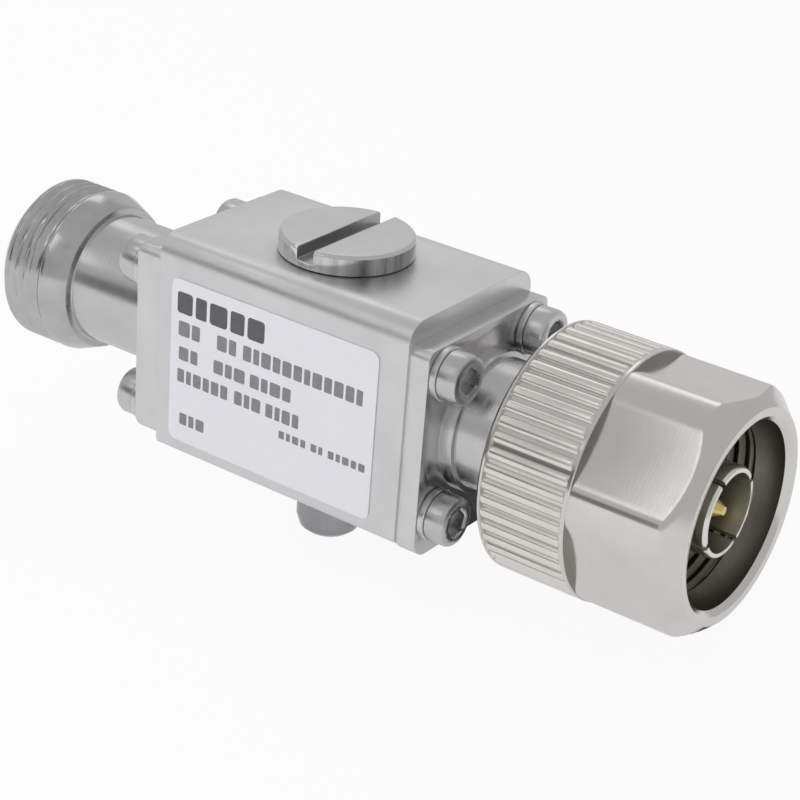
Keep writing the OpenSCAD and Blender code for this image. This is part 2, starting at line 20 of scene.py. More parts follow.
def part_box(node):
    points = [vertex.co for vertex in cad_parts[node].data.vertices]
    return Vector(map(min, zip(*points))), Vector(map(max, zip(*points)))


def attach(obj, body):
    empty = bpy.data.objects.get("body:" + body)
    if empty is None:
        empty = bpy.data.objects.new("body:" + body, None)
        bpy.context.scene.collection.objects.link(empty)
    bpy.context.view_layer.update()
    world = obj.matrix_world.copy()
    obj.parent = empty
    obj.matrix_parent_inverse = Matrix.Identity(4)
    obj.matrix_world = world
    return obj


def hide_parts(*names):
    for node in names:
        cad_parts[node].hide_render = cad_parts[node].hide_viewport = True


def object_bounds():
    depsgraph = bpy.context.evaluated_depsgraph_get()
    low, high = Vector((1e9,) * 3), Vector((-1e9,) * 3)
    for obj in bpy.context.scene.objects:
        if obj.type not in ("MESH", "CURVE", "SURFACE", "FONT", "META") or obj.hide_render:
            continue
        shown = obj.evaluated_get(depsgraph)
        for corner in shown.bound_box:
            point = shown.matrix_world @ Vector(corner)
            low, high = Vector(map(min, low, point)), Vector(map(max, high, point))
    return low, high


MM = 0.001
LOG = logging.getLogger("arrestor")
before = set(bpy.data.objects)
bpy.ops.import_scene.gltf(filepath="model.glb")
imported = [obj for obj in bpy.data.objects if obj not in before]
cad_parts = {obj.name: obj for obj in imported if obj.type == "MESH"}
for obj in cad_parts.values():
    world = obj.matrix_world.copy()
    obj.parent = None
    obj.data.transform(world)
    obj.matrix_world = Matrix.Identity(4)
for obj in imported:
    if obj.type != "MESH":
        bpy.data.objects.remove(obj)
CAD_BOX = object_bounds()

# Edges steeper than this stay sharp, in degrees, where a piece sets no other angle.
SHARP_DEG = 34.0
# Place of the tube axis along the line.
TUBE_AXIS_X = -40.1
# Share of a rounded edge's width that is left at the middle of the rounding.
EDGE_MIDDLE = 0.3
# Roughness that a full scratch adds.
SCUFF_ROUGH = 0.25

Triple = tuple[float, float, float]
Pair = tuple[float, float]
Outline = Callable[[float], float]
Profile = list[tuple[float, float | Outline]]
Choice = Callable[[Vector, Vector], bool]
Loop = list[Vector]
Inputs = Mapping[str | int, object]
PrintRow = tuple[float, float, float, tuple[Pair, ...]]
Piece = bpy.types.Object
Tree = bpy.types.NodeTree
Node = bpy.types.Node
Socket = bpy.types.NodeSocket
Sockets = bpy.types.NodeOutputs


class Marks(Enum):
    """Tool marks that a finish carries."""

    TURNED_LINE = "turned about the line"
    TURNED_UP = "turned about the tube axis"
    BLASTED = "fine blasted grain"
    MILLED = "straight milling lines"
    MOULDED = "soft moulded grain"
    FILM = "smooth film"


class Body(Enum):
    """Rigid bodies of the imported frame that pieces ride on."""

    HOUSING = "housing"
    NUT = "nut"
    CAP = "cap"
    GROUND_SCREW = "ground_screw"
    GROUND_WASHERS = "ground_washers"


def box_mm(node: str) -> tuple[Vector, Vector]:
    """Give the lowest and the highest corner of a node's box, in millimetres."""
    low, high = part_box(node)
    return low / MM, high / MM


def grey(level: float) -> Triple:
    """Give a neutral colour."""
    return level, level, level


def smooth_min(a: float, b: float, soft: float) -> float:
    """Blend two radii to the smaller one, with a corner rounded over the width soft."""
    gap = max(soft - abs(a - b), 0.0) / soft
    return min(a, b) - gap * gap * soft * 0.25


def hexagon(flats: float, angle: float) -> float:
    """Give the radius of a hexagon with this width across flats, at an angle from a corner."""
    return flats / 2 / math.cos(angle % (math.pi / 3) - math.pi / 6)


def rounded(low: Pair, high: Pair, rounds: Pair, steps: int, inset: float = 0.0) -> list[Pair]:
    """Outline a rectangle with round corners, from its upper right one on.

    Args:
        low: lowest corner.
        high: highest corner.
        rounds: radius of the upper and of the lower corners.
        steps: steps around each corner.
        inset: distance that the outline is drawn in.

    Returns:
        The points of the outline.
    """
    points = []
    for right, upper, start in ((1, 1, 0), (0, 1, 90), (0, 0, 180), (1, 0, 270)):
        r = rounds[0] if upper else rounds[1]
        u = high[0] - r if right else low[0] + r
        v = high[1] - r if upper else low[1] + r
        for step in range(steps + 1):
            a = math.radians(start + 90 * step / steps)
            points.append((u + (r - inset) * math.cos(a), v + (r - inset) * math.sin(a)))
    return points


def ring(x: float, radius: float | Outline, count: int) -> Loop:
    """Make one loop of points about the line axis.

    Args:
        x: place along the line.
        radius: radius, or a function of the angle.
        count: number of points.

    Returns:
        The points in metres.
    """
    points = []
    for i in range(count):
        angle = math.tau * i / count
        r = radius(angle) if callable(radius) else radius
        points.append(Vector((x, r * math.cos(angle), r * math.sin(angle))) * MM)
    return points


def finish_mesh(bm: bmesh.types.BMesh, name: str, sharp_deg: float = SHARP_DEG) -> Piece:
    """Turn an edit mesh into a linked, smooth-shaded object.

    Args:
        bm: edit mesh, freed here.
        name: name of the object.
        sharp_deg: edges steeper than this stay sharp.

    Returns:
        The new object.
    """
    mesh = bpy.data.meshes.new(name)
    bm.to_mesh(mesh)
    bm.free()
    mesh.shade_smooth()
    mesh.set_sharp_from_angle(angle=math.radians(sharp_deg))
    piece = bpy.data.objects.new(name, mesh)
    bpy.context.scene.collection.objects.link(piece)
    return piece


def skinned(
    name: str, stacks: Iterable[Sequence[Loop]], closed: bool, sharp_deg: float = SHARP_DEG
) -> Piece:
    """Join loops of points with quads, with fans over the two ends of an open stack.

    Args:
        name: name of the piece.
        stacks: stacks of loops with equal numbers of points, each a skin of its own.
        closed: join the last loop of a stack to its first one.
        sharp_deg: edges steeper than this stay sharp.

    Returns:
        The new object.
    """
    bm = bmesh.new()
    for loops in stacks:
        rows = [[bm.verts.new(p) for p in loop] for loop in loops]
        count = len(rows[0])
        ends = [] if closed else [rows[0], rows[-1]]
        made = []
        for a, b in zip(rows, rows[1:] + (rows[:1] if closed else [])):
            for i in range(count):
                j = (i + 1) % count
                made.append(bm.faces.new((a[i], a[j], b[j], b[i])))
        for row in ends:
            middle = bm.verts.new(sum((v.co for v in row), Vector()) / count)
            for i in range(count):
                made.append(bm.faces.new((row[i], row[(i + 1) % count], middle)))
        bmesh.ops.recalc_face_normals(bm, faces=made)
    return finish_mesh(bm, name, sharp_deg)


def new_tree(
    name: str, kind: str, inputs: Mapping[str, str], outputs: Mapping[str, str]
) -> tuple[Tree, Sockets]:
    """Make a node group with named sockets.

    Args:
        name: name of the group.
        kind: type of its tree.
        inputs: socket type of each input, by name.
        outputs: socket type of each output, by name.

    Returns:
        The tree and the sockets that bring its inputs.
    """
    tree = bpy.data.node_groups.new(name, kind)
    for way, sockets in (("INPUT", inputs), ("OUTPUT", outputs)):
        for label, socket in sockets.items():
            tree.interface.new_socket(label, in_out=way, socket_type="NodeSocket" + socket)
    return tree, tree.nodes.new("NodeGroupInput").outputs


def fill(node: Node, inputs: Inputs) -> None:
    """Link or set inputs of a node.

    Args:
        node: the node.
        inputs: socket to link or value to set, by name or number of the input.
    """
    for label, value in inputs.items():
        if isinstance(value, Socket):
            node.id_data.links.new(value, node.inputs[label])
        else:
            node.inputs[label].default_value = value


def add(tree: Tree, kind: str, inputs: Inputs, **settings: object) -> Sockets:
    """Add one node to a tree.

    Args:
        tree: the tree.
        kind: type of the node.
        inputs: socket to link or value to set, by name or number of the input.
        **settings: properties of the node, by name.

    Returns:
        The node's outputs.
    """
    node = tree.nodes.new(kind)
    for label, value in settings.items():
        setattr(node, label, value)
    fill(node, inputs)
    return node.outputs


def calculate(tree: Tree, operation: str, *values: object) -> Socket:
    """Add a math node and give its result."""
    return add(tree, "ShaderNodeMath", dict(enumerate(values)), operation=operation)[0]


def combine(tree: Tree, **parts: object) -> Socket:
    """Add a node that combines X, Y and Z, and give its result."""
    return add(tree, "ShaderNodeCombineXYZ", parts)[0]


@dataclass(frozen=True)
class NodeGroups:
    """Shader node groups that the finishes share."""

    skin: Tree
    turned: Tree
    grain: Tree

    @classmethod
    def build(cls) -> NodeGroups:
        """Build all groups once."""
        return cls(cls._skin(), cls._turned(), cls._grain())

    @staticmethod
    def _skin() -> Tree:
        """Build slow colour and gloss changes of a skin, with sparse handling scratches.

        Returns:
            The group.
        """
        floats = ("Rise", "Scale", "Rough Low", "Rough High", "Scuffs")
        inputs = {"Vector": "Vector", "Light": "Color", "Dark": "Color"}
        inputs |= dict.fromkeys(floats, "Float")
        outputs = {"Color": "Color", "Roughness": "Float"}
        tree, entry = new_tree("skin", "ShaderNodeTree", inputs, outputs)
        place = entry["Vector"]
        rise = combine(tree, X=1.0, Y=1.0, Z=entry["Rise"])
        drawn = add(tree, "ShaderNodeMapping", {"Vector": place, "Scale": rise})[0]
        noise = {"Vector": drawn, "Scale": entry["Scale"], "Detail": 5.0, "Roughness": 0.6}
        cloud = add(tree, "ShaderNodeTexNoise", noise)["Fac"]
        spread = {"Value": cloud, "From Min": 0.3, "From Max": 0.7}
        share = add(tree, "ShaderNodeMapRange", spread)[0]
        ends = {0: share, 6: entry["Light"], 7: entry["Dark"]}
        colour = add(tree, "ShaderNodeMix", ends, data_type="RGBA")[2]
        ends = {"Value": share, "To Min": entry["Rough Low"], "To Max": entry["Rough High"]}
        gloss = add(tree, "ShaderNodeMapRange", ends)[0]
        turn = {"Rotation": (0.6, 0.9, 0.4), "Scale": (1.0, 0.08, 1.0)}
        warp = add(tree, "ShaderNodeMapping", {"Vector": place, **turn})[0]
        noise = {"Vector": warp, "Scale": 900.0, "Detail": 2.0}
        streak = add(tree, "ShaderNodeTexNoise", noise)["Fac"]
        spread = {"Value": streak, "From Min": 0.64, "From Max": 0.72}
        scratch = add(tree, "ShaderNodeMapRange", spread)[0]
        mask = calculate(tree, "MULTIPLY", scratch, entry["Scuffs"])
        rough = calculate(tree, "MULTIPLY_ADD", mask, SCUFF_ROUGH, gloss)
        add(tree, "NodeGroupOutput", {"Color": colour, "Roughness": rough})
        return tree

    @staticmethod
    def _turned() -> Tree:
        """Build lathe lines that follow place and radius about an axis along X.

        Returns:
            The group.
        """
        inputs = {"Vector": "Vector", "Scale": "Float"}
        tree, entry = new_tree("turned_lines", "ShaderNodeTree", inputs, {"Height": "Float"})
        split = add(tree, "ShaderNodeSeparateXYZ", {0: entry["Vector"]})
        flat = combine(tree, X=split["Y"], Y=split["Z"])
        radius = add(tree, "ShaderNodeVectorMath", {0: flat}, operation="LENGTH")["Value"]
        place = combine(tree, X=split["X"], Y=radius)
        noise = {"Vector": place, "Scale": entry["Scale"], "Detail": 3.0}
        lines = add(tree, "ShaderNodeTexNoise", noise, noise_dimensions="2D")["Fac"]
        add(tree, "NodeGroupOutput", {"Height": lines})
        return tree

    @staticmethod
    def _grain() -> Tree:
        """Build a fine even grain, drawn out along X by its stretch.

        Returns:
            The group.
        """
        inputs = {"Vector": "Vector", "Scale": "Float", "Stretch": "Float"}
        tree, entry = new_tree("fine_grain", "ShaderNodeTree", inputs, {"Height": "Float"})
        factors = {0: entry["Vector"], 1: combine(tree, X=entry["Stretch"], Y=1.0, Z=1.0)}
        drawn = add(tree, "ShaderNodeVectorMath", factors, operation="MULTIPLY")[0]
        noise = {"Vector": drawn, "Scale": entry["Scale"], "Detail": 4.0, "Roughness": 0.65}
        add(tree, "NodeGroupOutput", {"Height": add(tree, "ShaderNodeTexNoise", noise)["Fac"]})
        return tree


@dataclass(frozen=True)
class Finish:
    """One surface finish and the values of its shader."""

    name: str
    light: Triple
    dark: Triple
    rough: Pair
    marks: Marks
    metallic: float = 1.0
    mark_scale: float = 5000.0
    mark_depth: float = 0.06
    mark_height: float = 0.0001
    tone_scale: float = 260.0
    tone_rise: float = 1.0
    scuffs: float = 0.25
    specular: float = 0.5
    milled_stretch: float = 0.04

    def build(self, groups: NodeGroups) -> bpy.types.Material:
        """Build the material of this finish.

        Args:
            groups: the shared node groups.

        Returns:
            The material.
        """
        material = bpy.data.materials.new(self.name)
        material.use_nodes = True
        tree = material.node_tree
        place = tree.nodes.new("ShaderNodeTexCoord").outputs["Object"]
        values = {
            "Vector": place,
            "Rise": self.tone_rise,
            "Scale": self.tone_scale,
            "Light": (*self.light, 1.0),
            "Dark": (*self.dark, 1.0),
            "Rough Low": self.rough[0],
            "Rough High": self.rough[1],
            "Scuffs": self.scuffs,
        }
        skin = add(tree, "ShaderNodeGroup", values, node_tree=groups.skin)
        marks = {"Strength": self.mark_depth, "Distance": self.mark_height}
        marks["Height"] = self._height(tree, groups, place)
        surface = {
            "Base Color": skin["Color"],
            "Metallic": self.metallic,
            "Roughness": skin["Roughness"],
            "Specular IOR Level": self.specular,
            "Normal": add(tree, "ShaderNodeBump", marks)[0],
        }
        fill(tree.nodes["Principled BSDF"], surface)
        return material

    def _height(self, tree: Tree, groups: NodeGroups, place: Socket) -> Socket:
        """Place the tool marks of this finish.

        Args:
            tree: the material's tree.
            groups: the shared node groups.
            place: socket with the object coordinates.

        Returns:
            The socket with the height of the marks.
        """
        if self.marks is Marks.TURNED_UP:
            turn = {"Location": (0.0, 0.0, -TUBE_AXIS_X * MM), "Rotation": (0.0, math.pi / 2, 0.0)}
            place = add(tree, "ShaderNodeMapping", {"Vector": place, **turn})[0]
        values = {"Vector": place, "Scale": self.mark_scale}
        if self.marks in (Marks.TURNED_LINE, Marks.TURNED_UP):
            return add(tree, "ShaderNodeGroup", values, node_tree=groups.turned)[0]
        values["Stretch"] = self.milled_stretch if self.marks is Marks.MILLED else 1.0
        return add(tree, "ShaderNodeGroup", values, node_tree=groups.grain)[0]


FINISHES = (
    Finish("block_nickel", (0.74, 0.74, 0.75), (0.70, 0.70, 0.71), (0.32, 0.40), Marks.BLASTED,
           mark_depth=0.10, scuffs=0.12),
    Finish("shell_nickel", grey(0.61), grey(0.57), (0.21, 0.28), Marks.TURNED_LINE, scuffs=0.08),
    # Darker copy of the shell nickel on the threaded drum: painted shade.
    Finish("drum_nickel_shade", grey(0.57), grey(0.46), (0.15, 0.22), Marks.TURNED_LINE, scuffs=0.08),
    Finish("nut_nickel", (0.72, 0.705, 0.685), (0.68, 0.665, 0.645), (0.14, 0.19),
           Marks.TURNED_LINE, mark_depth=0.012, scuffs=0.06),
    Finish("rib_nickel", (0.82, 0.80, 0.765), (0.76, 0.74, 0.705), (0.20, 0.27), Marks.MILLED,
           mark_depth=0.03, scuffs=0.06),
    # Darker nickel on the step behind the hexagon: painted shade.
    Finish("nut_step_shade", (0.36, 0.35, 0.33), (0.30, 0.29, 0.27), (0.25, 0.35), Marks.TURNED_LINE),
    # Dark nickel inside the nut's bore: painted shade of the recess.
    Finish("nut_bore_shade", (0.21, 0.20, 0.165), (0.15, 0.142, 0.115), (0.34, 0.45), Marks.TURNED_LINE),
    Finish("cap_nickel", (0.68, 0.68, 0.69), (0.64, 0.64, 0.65), (0.20, 0.27), Marks.TURNED_UP),
    # Darker nickel on the slot's walls and floor: painted shade.
    Finish("cap_slot", (0.46, 0.46, 0.465), (0.38, 0.38, 0.385), (0.3, 0.4), Marks.MILLED),
    # Light and dark upright bands on the cap's side wall: painted reflections.
    Finish("cap_rim_reflection", (0.86, 0.86, 0.87), grey(0.10), (0.14, 0.20), Marks.TURNED_UP,
           tone_scale=390.0, tone_rise=0.1),
    Finish("contact_silver", (0.84, 0.83, 0.80), (0.76, 0.75, 0.72), (0.18, 0.26),
           Marks.TURNED_LINE),
    Finish("contact_shade", (0.44, 0.425, 0.36), (0.37, 0.355, 0.295), (0.3, 0.4),
           Marks.TURNED_LINE),
    Finish("contact_gold", (0.80, 0.65, 0.28), (0.71, 0.56, 0.21), (0.18, 0.26), Marks.TURNED_LINE),
    Finish("insulator_white", (0.86, 0.85, 0.81), (0.80, 0.79, 0.75), (0.42, 0.52),
           Marks.MOULDED, 0.0, specular=0.4),
    Finish("gasket_rubber", (0.055, 0.055, 0.045), (0.04, 0.04, 0.032), (0.6, 0.75),
           Marks.MOULDED, 0.0, specular=0.3),
    Finish("seal_rubber", grey(0.035), grey(0.02), (0.5, 0.65), Marks.MOULDED, 0.0, specular=0.35),
    Finish("spring_bronze", (0.66, 0.47, 0.27), (0.55, 0.38, 0.20), (0.25, 0.36), Marks.MILLED),
    Finish("tube_ceramic", (0.86, 0.84, 0.79), (0.80, 0.78, 0.73), (0.5, 0.62), Marks.MOULDED, 0.0,
           specular=0.4),
    Finish("tube_electrode", (0.68, 0.67, 0.65), (0.60, 0.59, 0.57), (0.28, 0.38), Marks.TURNED_UP),
    Finish("screw_steel", (0.63, 0.63, 0.64), (0.54, 0.54, 0.55), (0.22, 0.32), Marks.TURNED_LINE),
    # Darker, glossier copy of the screw steel for the earth screw under the block: painted shade.
    Finish("earth_steel_shade", (0.41, 0.41, 0.425), (0.31, 0.31, 0.325), (0.15, 0.22), Marks.TURNED_UP),
    Finish("washer_steel", grey(0.70), grey(0.62), (0.24, 0.34), Marks.MILLED),
    Finish("label_film", (0.80, 0.79, 0.835), (0.775, 0.765, 0.81), (0.38, 0.46), Marks.FILM, 0.0,
           mark_depth=0.01, scuffs=0.1),
    Finish("label_ink", (0.085, 0.082, 0.095), (0.12, 0.115, 0.13), (0.45, 0.55), Marks.FILM, 0.0,
           mark_depth=0.02, tone_scale=2500.0),
    Finish("label_ink_grey", (0.20, 0.195, 0.215), (0.27, 0.26, 0.285), (0.45, 0.55),
           Marks.FILM, 0.0, mark_depth=0.02, tone_scale=2500.0),
)


@dataclass
class Workshop:
    """Materials by name, and the steps that every piece goes through."""

    materials: dict[str, bpy.types.Material] = field(default_factory=dict)
    weld: float = 2e-7
    flat_deg: float = 0.5
    edge_deg: float = 28.0
    bore_lean: float = 0.3

    def stock(self) -> None:
        """Build every finish."""
        groups = NodeGroups.build()
        for finish in FINISHES:
            self.materials[finish.name] = finish.build(groups)
        LOG.info("built %d finishes", len(self.materials))

    def softened(self, node: str, name: str, finish: str, width: float, segments: int = 2) -> Piece:
        """Copy a CAD node, round its sharp edges and paint it.

        Args:
            node: name of the CAD node.
            name: name of the new piece.
            finish: name of the finish.
            width: width of the rounding.
            segments: steps across the rounding.

        Returns:
            The new object.
        """
        bm = bmesh.new()
        bm.from_mesh(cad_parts[node].data)
        bmesh.ops.remove_doubles(bm, verts=bm.verts, dist=self.weld)
        flat, steep = math.radians(self.flat_deg), math.radians(self.edge_deg)
        bmesh.ops.dissolve_limit(bm, angle_limit=flat, verts=bm.verts, edges=bm.edges)
        sharp = [e for e in bm.edges if len(e.link_faces) == 2 and e.calc_face_angle(0.0) > steep]
        bmesh.ops.bevel(
            bm, geom=sharp, offset=width * MM, offset_type="OFFSET", segments=segments,
            profile=0.5, affect="EDGES", clamp_overlap=True,
        )
        piece = finish_mesh(bm, name)
        self.paint(piece, finish)
        return piece

    def paint(self, piece: Piece, finish: str) -> None:
        """Give a piece or a CAD node one finish all over.

        Args:
            piece: the object.
            finish: name of the finish.
        """
        if not piece.material_slots:
            piece.data.materials.append(self.materials[finish])
        for slot in piece.material_slots:
            slot.material = self.materials[finish]

    def paint_nodes(self, **finishes: str) -> None:
        """Paint CAD nodes that stay as they are, each with the finish named for it."""
        for node, finish in finishes.items():
            self.paint(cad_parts[node], finish)

    def dress(self, piece: Piece, finish: str, wanted: Choice) -> None:
        """Give some faces of a painted piece their own finish.

        Args:
            piece: the object.
            finish: name of the finish.
            wanted: whether a face takes it, from its middle and its normal.
        """
        piece.data.materials.append(self.materials[finish])
        for face in piece.data.polygons:
            if wanted(face.center / MM, face.normal):
                face.material_index = len(piece.data.materials) - 1

    def line(self, piece: Piece, finish: str, reach: float, x0: float, x1: float) -> None:
        """Give the faces that look into a bore on the line their own finish; the callers give
        darker ones, painted shade of the bore.

        Args:
            piece: the object.
            finish: name of the finish.
            reach: radius of the bore.
            x0: low end of the bore.
            x1: high end of the bore.
        """

        def inward(middle: Vector, normal: Vector) -> bool:
            """Tell whether a face lies in the bore and looks at its axis.

            Args:
                middle: middle of the face.
                normal: normal of the face.

            Returns:
                True where it does.
            """
            out = Vector((0.0, middle.y, middle.z))
            leans_in = normal.dot(out) <= self.bore_lean * out.length
            return out.length < reach and leans_in and x0 < middle.x < x1

        self.dress(piece, finish, inward)

    def fit(self, piece: Piece, body: Body, slot: str, *nodes: str) -> None:
        """Hand a finished piece to the frame.

        Args:
            piece: the object.
            body: the body that it rides on.
            slot: the record's material slot; not used.
            *nodes: the CAD nodes that it stands for.
        """
        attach(piece, body.value)
        if nodes:
            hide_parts(*nodes)
        LOG.info("%s rides on %s", piece.name, body.value)


class Repeat:
    """Geometry Nodes trees for pieces that repeat about the line or on the flange pattern."""

    @staticmethod
    def _tree(name: str, **inputs: str) -> tuple[Tree, Sockets]:
        """Make a geometry tree with a shape, a finish and more named inputs."""
        sockets = {"Shape": "Object", "Finish": "Material", **inputs}
        return new_tree(name, "GeometryNodeTree", sockets, {"Geometry": "Geometry"})

    @staticmethod
    def _close(tree: Tree, entry: Sockets, points: Socket, turn: Socket) -> Tree:
        """Add instancing, realizing and the material to a tree.

        Args:
            tree: the tree to finish.
            entry: its inputs.
            points: socket with the points.
            turn: socket with each point's rotation.

        Returns:
            The tree.
        """
        shape = add(tree, "GeometryNodeObjectInfo", {"Object": entry["Shape"]})["Geometry"]
        places = {"Points": points, "Instance": shape, "Rotation": turn}
        put = add(tree, "GeometryNodeInstanceOnPoints", places)[0]
        real = add(tree, "GeometryNodeRealizeInstances", {"Geometry": put})[0]
        skin = {"Geometry": real, "Material": entry["Finish"]}
        painted = add(tree, "GeometryNodeSetMaterial", skin)[0]
        add(tree, "NodeGroupOutput", {"Geometry": painted})
        return tree

    @classmethod
    def around_line(cls) -> Tree:
        """Build a tree that repeats a shape evenly about the line axis.

        Returns:
            The tree, with inputs Shape, Finish and Count.
        """
        tree, entry = cls._tree("around_line", Count="Int")
        points = add(tree, "GeometryNodePoints", {"Count": entry["Count"]})[0]
        index = tree.nodes.new("GeometryNodeInputIndex").outputs[0]
        share = calculate(tree, "DIVIDE", index, entry["Count"])
        angle = calculate(tree, "MULTIPLY", share, math.tau)
        return cls._close(tree, entry, points, combine(tree, X=angle))

    @classmethod
    def on_flange(cls) -> Tree:
        """Build a tree that puts a shape on the four flange holes, each turned at random.

        Returns:
            The tree, with inputs Shape, Finish, Pitch, Pitch Up, Place, Drop, Turn and Seed.
        """
        sizes = dict.fromkeys(("Pitch", "Pitch Up", "Place", "Drop", "Turn"), "Float")
        tree, entry = cls._tree("on_flange", **sizes, Seed="Int")
        holes = {"Size X": entry["Pitch"], "Size Y": entry["Pitch Up"]}
        holes |= {"Vertices X": 2, "Vertices Y": 2}
        below = calculate(tree, "MULTIPLY", entry["Drop"], -1.0)
        upright = {
            "Geometry": add(tree, "GeometryNodeMeshGrid", holes)["Mesh"],
            "Translation": combine(tree, X=entry["Place"], Z=below),
            "Rotation": (math.pi / 2, 0.0, math.pi / 2),
        }
        points = add(tree, "GeometryNodeTransform", upright)[0]
        draw = {3: entry["Turn"], "Seed": entry["Seed"]}
        chance = add(tree, "FunctionNodeRandomValue", draw, data_type="FLOAT")[1]
        return cls._close(tree, entry, points, combine(tree, X=chance))

    @staticmethod
    def bake(name: str, tree: Tree, shape: Piece, values: Mapping[str, object]) -> Piece:
        """Run a tree once and keep its result as a plain mesh.

        Args:
            name: name of the new piece.
            tree: the tree to run.
            shape: the shape to repeat, removed afterwards.
            values: values of the tree's other inputs, by socket name.

        Returns:
            The new object.
        """
        link = bpy.context.scene.collection.objects.link
        carrier = bpy.data.objects.new("carrier", bpy.data.meshes.new("carrier"))
        link(carrier)
        modifier = carrier.modifiers.new("repeat", "NODES")
        modifier.node_group = tree
        for item in tree.interface.items_tree:
            if item.in_out == "INPUT":
                modifier[item.identifier] = shape if item.name == "Shape" else values[item.name]
        graph = bpy.context.evaluated_depsgraph_get()
        mesh = bpy.data.meshes.new_from_object(carrier.evaluated_get(graph))
        mesh.name = name
        bpy.data.objects.remove(carrier)
        bpy.data.objects.remove(shape)
        piece = bpy.data.objects.new(name, mesh)
        link(piece)
        return piece


@dataclass(frozen=True)
class Thread:
    """A helical groove that runs out at both ends, with a depth below zero towards the axis."""

    radius: float
    depth: float
    rows: int
    run_out: int
    lead: float = 0.0
    pitch: float = 1.058
    groove: float = 0.88
    flank: float = 0.76

    def profile(self, start: float, span: float) -> Profile:
        """List the outlines along the thread.

        Args:
            start: x of its low end.
            span: its length.

        Returns:
            Place along the line and outline of each row.
        """
        made = []
        for i in range(self.rows + 1):
            along = span * i / self.rows
            fade = min(1.0, i / self.run_out, (self.rows - i) / self.run_out)
            turns = (along - self.lead) / self.pitch
            outline = partial(self._radius, turns, self.depth * fade)
            made.append((start + along, outline))
        return made

    def _radius(self, turns: float, depth: float, angle: float) -> float:
        """Give the radius at one place, in turns, and angle, where the groove has this depth."""
        off = abs((turns - angle / math.tau) % 1.0 - 0.5) * 2
        return self.radius + depth * min(1.0, max(0.0, (self.groove - off) / self.flank))


# Rows of print on the label: low z, height and wanted width of a block, and the stretches of x
# that the words of the row take.
TITLE: tuple[PrintRow, ...] = ((4.4, 2.05, 1.7, ((-51.5, -41.5),)),)
LINES: tuple[PrintRow, ...] = (
    (2.2, 1.45, 0.92, ((-51.3, -48.8), (-46.8, -44.6), (-43.8, -30.6))),
    (-0.15, 1.3, 0.86, ((-51.2, -49.0), (-47.1, -43.5), (-42.9, -38.3))),
    (-2.35, 1.3, 0.84, ((-51.3, -45.4), (-44.6, -41.6), (-41.0, -37.3))),
    (-6.55, 1.15, 0.8, ((-50.9, -48.0),)),
    (-3.9, 0.75, 0.55, ((-39.4, -36.4), (-35.8, -34.5), (-33.9, -29.9))),
)


@dataclass
class Block:
    """The earthed block and its label."""

    edge: float = 0.22
    ink_height: float = 0.006
    ink_round: float = 0.16
    ink_steps: int = 4
    title_gap: float = 0.36
    line_gap: float = 0.24
    shares: tuple[float, ...] = (1.0, 0.72, 1.14, 0.9, 1.08)

    def build(self, shop: Workshop) -> None:
        """Build and dress the block, the label and its print.

        Args:
            shop: the workshop.
        """
        block = shop.softened("body_block", "block_body", "block_nickel", self.edge, 3)
        shop.fit(block, Body.HOUSING, "block_nickel", "body_block")
        shop.paint_nodes(rating_label="label_film")
        for name, finish, rows, gap in (
            ("label_title", "label_ink", TITLE, self.title_gap),
            ("label_lines", "label_ink_grey", LINES, self.line_gap),
        ):
            piece = skinned(name, self._print(rows, gap), closed=False)
            shop.paint(piece, finish)
            shop.fit(piece, Body.HOUSING, "label_film")

    def _print(self, rows: Sequence[PrintRow], gap: float) -> list[list[Loop]]:
        """Lay out rows of plain ink blocks on the label.

        Args:
            rows: the rows.
            gap: gap between blocks.

        Returns:
            The stack of loops of each block.
        """
        face = box_mm("rating_label")[0].y
        stacks = []
        for z, high, wanted, words in rows:
            blocks = [block for word in words for block in self._word(*word, wanted, gap)]
            for x, width in blocks:
                r = self.ink_round * min(width, high)
                flat = rounded((x, z), (x + width, z + high), (r, r), self.ink_steps)
                depths = (face, face - self.ink_height)
                stacks.append([[Vector((u, y, v)) * MM for u, v in flat] for y in depths])
        return stacks

    def _word(self, x0: float, x1: float, wanted: float, gap: float) -> list[Pair]:
        """Split one stretch of print into plain blocks.

        Args:
            x0: low end of the stretch.
            x1: high end of the stretch.
            wanted: wanted width of a block.
            gap: gap between blocks.

        Returns:
            Low x and width of each block.
        """
        count = max(1, round((x1 - x0 + gap) / (wanted + gap)))
        shares = [self.shares[i % len(self.shares)] for i in range(count)]
        unit = (x1 - x0 - gap * (count - 1)) / sum(shares)
        blocks = []
        for share in shares:
            blocks.append((x0, share * unit))
            x0 += share * unit + gap
        return blocks


